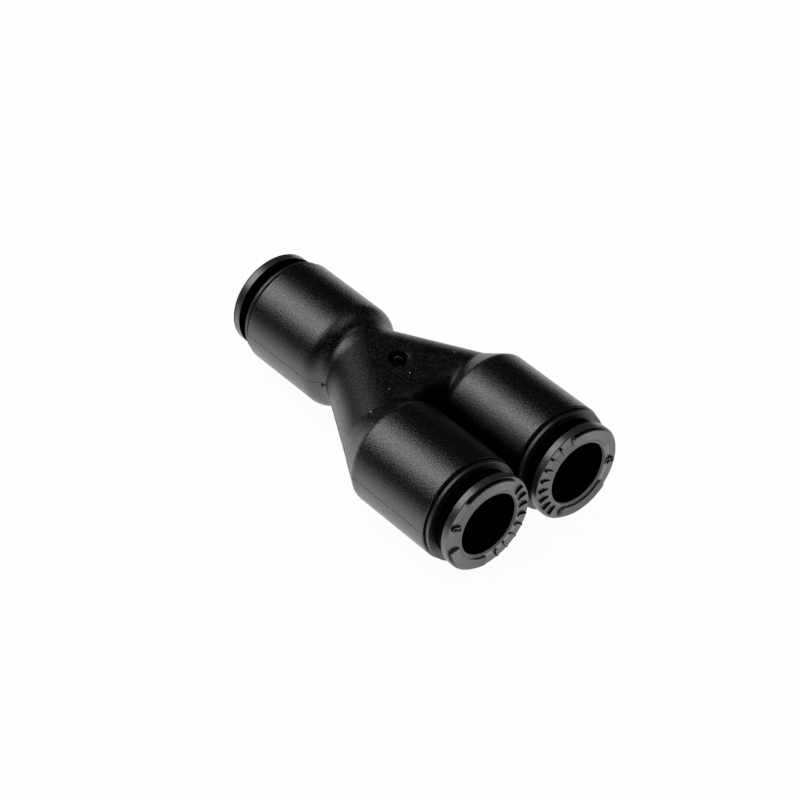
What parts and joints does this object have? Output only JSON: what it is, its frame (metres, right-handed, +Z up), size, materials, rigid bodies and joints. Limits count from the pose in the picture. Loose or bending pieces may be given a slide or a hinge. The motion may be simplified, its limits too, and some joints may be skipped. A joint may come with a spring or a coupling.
{
  "type": "tubing y connector",
  "caption": "Y-shaped push-in tube connector: a moulded body with parallel outlet barrels on a flat yoke, and a pressable release collar in each mouth.",
  "frame": {"origin": "bottom centre of the bounding box, on the surface that the barrels lie on", "axes": "+X from the inlet's mouth to the outlets' mouths along the barrels, +Y across from the left outlet to the right one, +Z up, square to the plane of the Y"},
  "size_m": [0.0478, 0.0269, 0.0135],
  "materials": {
    "body_nylon": "black glass-filled nylon with a fine spark-eroded grain",
    "cap_nylon": "smooth glossy black",
    "button_acetal": "satin black acetal",
    "ring_steel": "bright stamped stainless spring steel",
    "spacer_acetal": "natural white acetal",
    "seal_rubber": "black nitrile rubber"
  },
  "bodies": {
    "fitting": {"body": "body_nylon", "inlet_cap_ring": "cap_nylon", "inlet_spacer_ring": "spacer_acetal", "inlet_seal": "seal_rubber", "left_cap_ring": "cap_nylon", "left_spacer_ring": "spacer_acetal", "left_seal": "seal_rubber", "right_cap_ring": "cap_nylon", "right_spacer_ring": "spacer_acetal", "right_seal": "seal_rubber"},
    "inlet_grip": {"inlet_gripping_ring": "ring_steel"},
    "inlet_button": {"inlet_release_button": "button_acetal"},
    "left_grip": {"left_gripping_ring": "ring_steel"},
    "left_button": {"left_release_button": "button_acetal"},
    "right_grip": {"right_gripping_ring": "ring_steel"},
    "right_button": {"right_release_button": "button_acetal"}
  },
  "joints": [
    {"name": "inlet_collar_turn", "type": "hinge", "parent": "fitting", "child": "inlet_grip", "pos_m": [-0.02395, 0, 0.00675], "axis": [-1, 0, 0], "continuous": true},
    {"name": "inlet_button_press", "type": "slide", "parent": "inlet_grip", "child": "inlet_button", "axis": [1, 0, 0], "range_m": [0, 0.0007], "stiffness_N_per_m": 5000, "deforming": ["inlet_gripping_ring"]},
    {"name": "left_collar_turn", "type": "hinge", "parent": "fitting", "child": "left_grip", "pos_m": [0.02395, -0.0067, 0.00675], "axis": [1, 0, 0], "continuous": true},
    {"name": "left_button_press", "type": "slide", "parent": "left_grip", "child": "left_button", "axis": [-1, 0, 0], "range_m": [0, 0.0007], "stiffness_N_per_m": 5000, "deforming": ["left_gripping_ring"]},
    {"name": "right_collar_turn", "type": "hinge", "parent": "fitting", "child": "right_grip", "pos_m": [0.02395, 0.0067, 0.00675], "axis": [1, 0, 0], "continuous": true},
    {"name": "right_button_press", "type": "slide", "parent": "right_grip", "child": "right_button", "axis": [-1, 0, 0], "range_m": [0, 0.0007], "stiffness_N_per_m": 5000, "deforming": ["right_gripping_ring"]}
  ]
}
